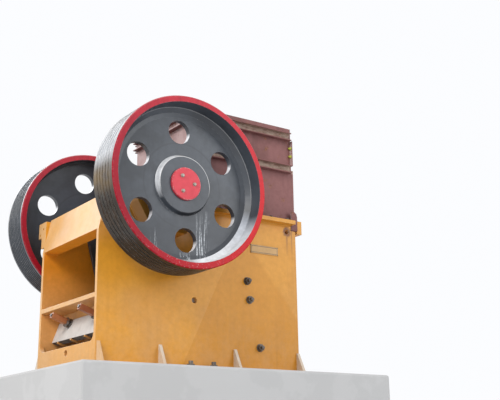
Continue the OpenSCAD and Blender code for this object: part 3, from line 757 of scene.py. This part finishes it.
# %% Bare steel finishes
def steel(name, bright, dark, rough, dust, rust):
    metal = 0.85
    material, tree, shader = new_material(name, metallic=metal)
    patches = use(tree, PATCHES, Scale=5.0, Contrast=0.3)
    color = blend(tree, patches["Mask"], bright, dark)
    rusty = use(tree, RUST, Scale=16.0, Amount=rust)
    color = blend(tree, times(tree, rusty["Mask"], 0.85), color, rusty["Color"])
    settled = use(tree, DUST, Amount=dust, Splash=0.2)["Mask"]
    color = blend(tree, settled, color, (0.45, 0.40, 0.34))
    edge = use(tree, EDGES, Width=0.004, Amount=0.7)
    color = blend(tree, edge["Mask"], color, scaled(bright, 1.7))
    tree.links.new(color, shader.inputs["Base Color"])
    dull = maths(tree, "MAXIMUM", settled, rusty["Mask"])
    rough = maths(tree, "MULTIPLY_ADD", patches["Fine"], 0.2, rough)
    tree.links.new(maths(tree, "MULTIPLY_ADD", dull, 0.4, rough), shader.inputs["Roughness"])
    tree.links.new(maths(tree, "MULTIPLY_ADD", dull, -0.8, metal, clamp=True), shader.inputs["Metallic"])
    grain_bump(tree, shader, patches["Fine"], edge["Normal"], 0.3, 0.002)
    return material


JAW = steel("jaw_steel", (0.42, 0.40, 0.38), (0.27, 0.25, 0.24), rough=0.42, dust=0.7, rust=0.35)
WORN = steel("worn_steel", (0.55, 0.54, 0.53), (0.38, 0.37, 0.36), rough=0.32, dust=0.4, rust=0.25)
ROD = steel("rod_steel", (0.20, 0.19, 0.18), (0.12, 0.11, 0.10), rough=0.38, dust=0.4, rust=0.4)
BOLT = steel("bolt_steel", (0.16, 0.145, 0.13), (0.10, 0.085, 0.075), rough=0.45, dust=0.4, rust=0.5)
ZINC = steel("zinc_bolt", (0.44, 0.42, 0.38), (0.32, 0.30, 0.26), rough=0.42, dust=0.3, rust=0.2)
print("steel finishes:", [material.name for material in (JAW, WORN, ROD, BOLT, ZINC)])

# %% [markdown]
# The record names a material slot for every CAD piece. Each slot has one finish, so the pieces of a kind
# always match, and the meshes only swap the material in the slot that they came with.

# %% Give every CAD node its finish
FINISH = {"frame_yellow": YELLOW, "plate_bare": BARE, "dusty_plate": DUSTY, "wheel_grey": WHEEL,
          "cap_red": RED, "chute_primer": PRIMER, "dark_casting": CASTING, "jaw_steel": JAW,
          "worn_steel": WORN, "rod_steel": ROD, "tube_primer": TUBE}
slot_of = {entry["node"]: entry["material_slot"] for entry in frame["record"]["subparts"]}
for name, thing in nodes.items():
    for place in thing.material_slots:
        place.material = FINISH[slot_of[name]]
print("finishes on", len(nodes), "nodes")

# %% [markdown]
# ## Small pieces
#
# The fasteners and weld beads are new meshes. Each helper below adds one form to an open bmesh, so that
# all the bolts of one kind end up in one object. A form is drawn along +Z and a matrix stands it on its
# place, pointing out of the face that carries it. A prism is a rod whose upper edge is rounded off,
# because real bolt heads are turned before they are plated, and with many sides it is round. The Bevel
# operator could do that, but it numbers its new corners in another order each run. Two rings that are
# extruded from the cap, along a quarter circle, give the same form and always the same mesh. add_piece
# makes an object of the bmesh and says which body it rides on.


# %% Helpers for small pieces
def standing(place, axis):
    return Matrix.Translation(Vector(place)) @ Vector(axis).to_track_quat("Z", "Y").to_matrix().to_4x4()


def rod(shape, middle, radius, length, sides):
    made = bmesh.ops.create_cone(shape, cap_ends=True, cap_tris=False, segments=sides, radius1=radius,
                                 radius2=radius, depth=length, matrix=middle)
    return made["verts"]


def prism(shape, stand, radius, low, high, sides, chamfer):
    length = high - chamfer - low
    verts = rod(shape, stand @ Matrix.Translation((0, 0, low + length / 2)), radius, length, sides)
    local = stand.inverted()
    cap = max((face for vert in verts for face in vert.link_faces),
              key=lambda face: (local @ face.calc_center_median()).z)
    corner = chamfer / math.cos(math.pi / sides)
    before, height = radius, 0.0
    for angle in (math.pi / 4, math.pi / 2):
        ring = radius - corner * (1 - math.cos(angle))
        rise = chamfer * math.sin(angle)
        cap = bmesh.ops.extrude_discrete_faces(shape, faces=[cap])["faces"][0]
        bmesh.ops.scale(shape, vec=(ring / before, ring / before, 1), space=local, verts=cap.verts)
        bmesh.ops.translate(shape, vec=(0, 0, rise - height), space=local, verts=cap.verts)
        before, height = ring, rise


def as_object(name, shape, material):
    mesh = bpy.data.meshes.new(name)
    shape.to_mesh(mesh)
    shape.free()
    mesh.materials.append(material)
    thing = bpy.data.objects.new(name, mesh)
    bpy.context.scene.collection.objects.link(thing)
    return thing


def add_piece(name, shape, body, material, sharp=35):
    for face in shape.faces:
        face.smooth = True
    thing = as_object(name, shape, material)
    thing.data.set_sharp_from_angle(angle=math.radians(sharp))
    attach(thing, body)
    print(name, "has", len(thing.data.polygons), "faces")


# %% [markdown]
# A nut or bolt head is a hexagon on a washer, and a stud stands out of it. All of them follow from the
# diameter of the thread, so one function makes every fastener of the machine. The values below are
# radii, thickness and height as shares of that diameter. Each fastener gets a turn of its own, since
# spanner flats are never lined up.

# %% Bolts and nuts
WASHER_R, WASHER_T = 0.98, 0.15
HEXAGON_R, HEXAGON_H = 0.87, 0.70
STUD_R = 0.47


def bolt(shape, place, axis, size, stud=0.0, washer=True, turn=0.0):
    stand = standing(place, axis) @ Matrix.Rotation(turn, 4, "Z")
    thick = WASHER_T * size if washer else 0.0
    top = thick + HEXAGON_H * size
    if washer:
        prism(shape, stand, WASHER_R * size, 0.0, thick, 24, chamfer=0.03 * size)
    prism(shape, stand, HEXAGON_R * size, thick, top, 6, chamfer=0.10 * size)
    if stud:
        prism(shape, stand, STUD_R * size, thick, top + stud, 14, chamfer=0.06 * size)


print("a hexagon of 20 mm thread is", round(2 * HEXAGON_R * 20 * math.cos(math.pi / 6), 1), "mm across")

# %% [markdown]
# A weld bead is a thin rod along the corner of two plates. Cuts along its length let every second ring
# swell a little, which gives the scales that a welder's hand leaves. A bump on a smooth rod would be
# cheaper, but its outline would stay straight. Two sine waves of different length keep the scales from
# looking like a screw.

# %% Weld beads
RING = 0.014                # distance from cut to cut
SCALES, SLOW = 233.0, 71.0  # the two waves, in radians for each metre


def bead(shape, start, end, radius):
    start, end = Vector(start), Vector(end)
    way = end - start
    along = way.normalized()
    middle = standing(start, way) @ Matrix.Translation((0, 0, way.length / 2))
    sides = {edge for vert in rod(shape, middle, radius, way.length, 6) for edge in vert.link_edges
             if abs((edge.verts[1].co - edge.verts[0].co).normalized().dot(along)) > 0.9}
    cuts = max(1, int(way.length / RING))
    rings = bmesh.ops.subdivide_edges(shape, edges=list(sides), cuts=cuts, use_grid_fill=True)
    for vert in {item for item in rings["geom_inner"] if isinstance(item, bmesh.types.BMVert)}:
        far = (vert.co - start).dot(along)
        centre = start + along * far
        swell = 1.0 + 0.20 * math.sin(far * SCALES) + 0.10 * math.sin(far * SLOW + start.x * 9.0)
        vert.co = centre + (vert.co - centre) * swell


print("bead helper ready")

# %% [markdown]
# The frame is welded from thick plate: long seams at the base flanges and round the bearing saddles, and
# shorter ones at the gussets, the shelf, the sill and the hood. Every bead follows the corner where two
# plates meet, and its ends come from their boxes. The first line holds the radii of the beads, because
# thicker plates get thicker ones, and SADDLE is the outline of a bearing saddle round the shaft.

# %% Welds of the frame
HEAVY, SILL, MIDDLE, LIGHT = 0.009, 0.008, 0.007, 0.006
flange_low, flange_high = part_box("top_flanges")
shelf_low, shelf_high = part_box("rear_shelf")
hood_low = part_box("rear_hood")[0]
sill_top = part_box("rear_sill")[1][2]
saddle_low, saddle_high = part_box("bearing_saddles")
bracket_low, bracket_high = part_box("side_brackets")
gusset_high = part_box("foot_gussets")[1]
GUSSETS = (REAR_X + 0.025, SHAFT.x + 0.004, SHAFT.x + 0.822, FRONT_X - 0.015)
GUSSET_HALF = 0.015

wide, narrow = (saddle_high[0] - saddle_low[0]) / 2, 0.18
ear, foot = FRAME_TOP - 0.08, FRAME_TOP - 0.33
SADDLE = ((-wide, FRAME_TOP), (-wide, ear), (-narrow, foot), (narrow, foot), (wide, ear), (wide, FRAME_TOP))

shape = bmesh.new()
for side in (-1, 1):
    outer, inner = side * PLATE_Y, side * INNER_Y
    bead(shape, (REAR_X + 0.01, outer, FRAME_LOW), (FRONT_X - 0.01, outer, FRAME_LOW), HEAVY)
    bead(shape, (flange_low[0], outer, flange_low[2]), (flange_high[0] - 0.004, outer, flange_low[2]), MIDDLE)
    for x in GUSSETS:
        for face in (x - GUSSET_HALF, x + GUSSET_HALF):
            bead(shape, (face, outer, FRAME_LOW), (face, outer, gusset_high[2]), MIDDLE)
            bead(shape, (face, outer, FRAME_LOW), (face, side * (gusset_high[1] - 0.004), FRAME_LOW), MIDDLE)
    for z in (shelf_low[2], shelf_high[2]):
        bead(shape, (REAR_X + 0.004, inner, z), (shelf_high[0], inner, z), MIDDLE)
    bead(shape, (REAR_X + 0.04, inner, FRAME_LOW), (REAR_X + 0.04, inner, sill_top - 0.06), MIDDLE)
    bead(shape, (REAR_X + 0.138, inner, hood_low[2] + 0.002),
         (REAR_X + 0.01, inner, hood_low[2] + 0.006), LIGHT)
    for (x0, z0), (x1, z1) in zip(SADDLE, SADDLE[1:]):
        bead(shape, (SHAFT.x + x0, outer, z0), (SHAFT.x + x1, outer, z1), HEAVY)
    bead(shape, (bracket_high[0], outer, bracket_low[2]), (bracket_high[0], outer, bracket_high[2]), LIGHT)
bead(shape, (REAR_X, -INNER_Y, FRAME_LOW), (REAR_X, INNER_Y, FRAME_LOW), SILL)
add_piece("frame_welds", shape, "frame", YELLOW, sharp=80)

# %% [markdown]
# The chute is stitched instead: short beads with gaps hold each channel rib to the panel, above and
# below it. Stitches are cheaper than a full seam and thin sheet warps less. Its foot and the posts have
# thin full seams.

# %% Welds of the chute
STITCHES, STITCH = 6, 0.07
SIDE_PITCH, REAR_PITCH = 0.205, 0.20
THIN, SEAM = 0.004, 0.005
foot_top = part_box("chute_foot")[1][2]
post_x, post_z = flange_high[0], FRAME_TOP - 0.09

shape = bmesh.new()
for edge in [middle + half for middle in RIB_Z for half in (-RIB_H / 2, RIB_H / 2)]:
    for i in range(STITCHES):
        x = CHUTE_X + 0.06 + i * SIDE_PITCH
        for side in (-1, 1):
            bead(shape, (x, side * INNER_Y, edge), (x + STITCH, side * INNER_Y, edge), THIN)
    for i in range(STITCHES):
        y = -INNER_Y + 0.05 + i * REAR_PITCH
        bead(shape, (CHUTE_X, y, edge), (CHUTE_X, y + STITCH, edge), THIN)
for side in (-1, 1):
    inner, outer = side * INNER_Y, side * PLATE_Y
    bead(shape, (CHUTE_X + 0.01, inner, foot_top), (FRONT_X - 0.01, inner, foot_top), SEAM)
    for x in (CHUTE_X, FRONT_X):
        bead(shape, (x, inner, foot_top), (x, inner, rib_low[2]), THIN)
    bead(shape, (post_x, outer, post_z), (post_x, outer, flange_low[2]), SEAM)
    bead(shape, (post_x, outer, post_z), (FRONT_X, outer, post_z), SEAM)
add_piece("chute_welds", shape, "frame", PRIMER, sharp=80)

# %% [markdown]
# ## Fasteners
#
# Three bolts hold each retaining disc on the end of the shaft. They are zinc plated and brighter than
# the bolts of the frame. They turn with the shaft, so they are one piece that rides on the rotor.

# %% Bolts of the retaining discs
CAP_RING, CAP_TURN = 0.082, -33
shape = bmesh.new()
for side in (-1, 1):
    for i in range(3):
        angle = math.radians(CAP_TURN + 120 * i)
        place = SHAFT + Vector((CAP_RING * math.sin(angle), side * CAP_Y, CAP_RING * math.cos(angle)))
        bolt(shape, place, (0, side, 0), 0.018, turn=0.4 * i)
add_piece("cap_bolts", shape, "rotor", ZINC)

# %% [markdown]
# Big nuts on studs hold the cheek plates of the chamber through the side plates. Each base flange has
# the same kind of nut in its two middle holes, between the inner gussets. The corner holes stay open,
# because they are the mounting pattern of the part. Nothing shows how the studs are spaced but the
# picture, so the places of the cheek bolts are X and Z measured there.

# %% Studs of the cheek plates and of the base flanges
CHEEK_BOLTS = ((0.534, 0.918), (0.561, 0.734), (0.677, 0.275))
ANCHOR_Y = PLATE_Y + 0.0696
ANCHOR_HALF = 0.124
middle = (GUSSETS[1] + GUSSETS[2]) / 2
shape = bmesh.new()
for side in (-1, 1):
    for x, z in CHEEK_BOLTS:
        bolt(shape, (x, side * PLATE_Y, z), (0, side, 0), 0.040, stud=0.024, turn=x * 9)
    for x in (middle - ANCHOR_HALF, middle + ANCHOR_HALF):
        bolt(shape, (x, side * ANCHOR_Y, FRAME_LOW), (0, 0, 1), 0.046, stud=0.030, turn=x * 5)
add_piece("stud_nuts", shape, "frame", BOLT)

# %% [markdown]
# Each bearing has four nuts on the ears of its cap and a ring of twelve small bolts round its cover. A
# ring is a loop over an angle, which is how it is marked out in a workshop too. The bearings are hidden
# behind the wheels in the picture, so their bolts follow common practice.

# %% Bolts of the bearings
EAR_X, EAR_Z = 0.297, FRAME_TOP + 0.08
COVER_RING, COVER_Y = 0.1925, PLATE_Y + 0.166
shape = bmesh.new()
for side in (-1, 1):
    for x in (-EAR_X, EAR_X):
        for y in (0.040, 0.120):
            place = (SHAFT.x + x, side * (PLATE_Y + y), EAR_Z)
            bolt(shape, place, (0, 0, 1), 0.046, stud=0.020, turn=y * 9)
    for i in range(12):
        angle = math.radians(15 + 30 * i)
        place = SHAFT + Vector((COVER_RING * math.cos(angle), side * COVER_Y, COVER_RING * math.sin(angle)))
        bolt(shape, place, (0, side, 0), 0.018, washer=False, turn=angle)
add_piece("bearing_bolts", shape, "frame", BOLT)

# %% [markdown]
# Bolts along both sides hold the foot of the chute to the top flanges, and two on each side close the
# end flanges of its panels. Those last ones got a dab of yellow paint once they were tight, so they are
# a piece of their own with the finish of marked nuts.

# %% Bolts of the chute
shape = bmesh.new()
for i in range(6):
    for side in (-1, 1):
        place = (CHUTE_X + 0.07 + i * SIDE_PITCH, side * (PLATE_Y + 0.020), foot_top)
        bolt(shape, place, (0, 0, 1), 0.019, turn=i)
add_piece("foot_bolts", shape, "frame", BOLT)

shape = bmesh.new()
for z in (0.676, 0.766):
    for side in (-1, 1):
        place = (FRONT_X - 0.012, side * (INNER_Y + 0.018), SHAFT.z + z)
        bolt(shape, place, (-1, 0, 0), 0.019, stud=0.010, turn=z * 7)
add_piece("chute_bolts", shape, "frame", MARK)

# %% [markdown]
# The name plate is bare here. A stamped plate of this kind has a thin raised border and a drive screw
# in each corner, so these are modelled and its field stays empty. The border is four flat bars, which
# is simpler than an inset frame and looks the same at this size.

# %% Border and screws of the name plate
MARGIN, LINE, RAISED, CORNER = 0.010, 0.004, 0.002, 0.005
plate_low, plate_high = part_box("name_plate")
x0, x1 = plate_low[0] + MARGIN, plate_high[0] - MARGIN
z0, z1 = plate_low[2] + MARGIN, plate_high[2] - MARGIN
BARS = ((x0, z0, x1, z0 + LINE), (x0, z1 - LINE, x1, z1), (x0, z0, x0 + LINE, z1), (x1 - LINE, z0, x1, z1))
shape = bmesh.new()
for left, low, right, high in BARS:
    centre = Matrix.Translation(((left + right) / 2, plate_low[1], (low + high) / 2))
    size = Matrix.Diagonal((right - left, RAISED, high - low, 1))
    bmesh.ops.create_cube(shape, size=1.0, matrix=centre @ size)
for x in (plate_low[0] + CORNER, plate_high[0] - CORNER):
    for z in (plate_low[2] + CORNER, plate_high[2] - CORNER):
        prism(shape, standing((x, plate_low[1], z), (0, -1, 0)), 0.004, 0.0, 0.003, 12, chamfer=0.001)
add_piece("plate_border", shape, "frame", BOLT)

# %% [markdown]
# Five bolts press the clamp bar down on the upper edge of the moving jaw plate. They show only from
# above, through the chute. They ride on the pitman and go round with it.

# %% Bolts of the jaw clamp
clamp_low, clamp_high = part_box("jaw_clamp")
shape = bmesh.new()
for i in range(5):
    bolt(shape, (clamp_low[0] + 0.036, (i - 2) * 0.21, clamp_high[2]), (0, 0, 1), 0.036, turn=i)
add_piece("clamp_bolts", shape, "pitman", BOLT)

# %% [markdown]
# ## Floor and plinth
#
# The machine stands on a pale plinth. The camera is lower than the plinth's top, so its front edge
# shows. The plinth is a little mottled, and the floor is plain.


# %% Stage
def stage_box(name, low, high, color, mottle):
    material, tree, shader = new_material(name + "_finish")
    grain = use(tree, PATCHES, Scale=1.5, Contrast=0.1)
    tint = blend(tree, times(tree, grain["Mask"], mottle), color, scaled(color, 0.86))
    tree.links.new(tint, shader.inputs["Base Color"])
    shader.inputs["Roughness"].default_value = 0.9

    shape = bmesh.new()
    bmesh.ops.create_cube(shape, size=1.0)
    bmesh.ops.scale(shape, vec=[b - a for a, b in zip(low, high)], verts=shape.verts)
    bmesh.ops.translate(shape, vec=[(a + b) / 2 for a, b in zip(low, high)], verts=shape.verts)
    bmesh.ops.bevel(shape, geom=shape.edges[:], offset=0.02, offset_type="OFFSET", segments=2,
                    profile=0.5, affect="EDGES", material=-1)
    thing = as_object(name, shape, material)


stage_box("plinth", (REAR_X - 0.45, -1.32, -1.0), (FRONT_X + 0.55, 1.32, 0.0), (0.44, 0.44, 0.44), 0.35)
stage_box("floor", (-30, -30, -1.2), (30, 30, -1.0), (0.72, 0.72, 0.72), 0.03)
print("plinth and floor")

# %% [markdown]
# ## Light
#
# The day was bright and overcast. The key lamp is high on the rear left and rakes along the side
# plates. A wide one beyond the machine stands for the brightest part of the sky, which shines off the
# rims and the hub. A weak one lifts the near side, and a white world does the rest. Discs are used
# because their soft edge leaves no square highlight on the round rims.


# %% Lamps and sky
def lamp(name, place, aim, size, power, color):
    data = bpy.data.lights.new(name, "AREA")
    data.shape = "DISK"
    data.size = size
    data.energy = power
    data.color = color
    thing = bpy.data.objects.new(name, data)
    thing.location = place
    thing.rotation_euler = (Vector(aim) - Vector(place)).to_track_quat("-Z", "Y").to_euler()
    thing.visible_camera = False
    bpy.context.scene.collection.objects.link(thing)


lamp("key", (-9.4, -4.8, 7.2), (-0.6, 0, 1.0), 4.5, 820, (1.0, 0.98, 0.95))
lamp("bright_sky", (-2.2, 11.0, 8.2), (-0.4, 0, 1.2), 9.0, 760, (0.97, 0.98, 1.0))
lamp("fill", (6.0, -8.0, 4.0), (0, 0, 1.2), 6.0, 250, (0.94, 0.97, 1.0))
world = bpy.data.worlds.new("sky")
bpy.context.scene.world = world
world.use_nodes = True
sky = world.node_tree.nodes["Background"].inputs
sky["Color"].default_value = (0.97, 0.98, 1.0, 1)
sky["Strength"].default_value = 1.0
bpy.context.scene.view_settings.view_transform = "Standard"
print("three lamps and a sky")
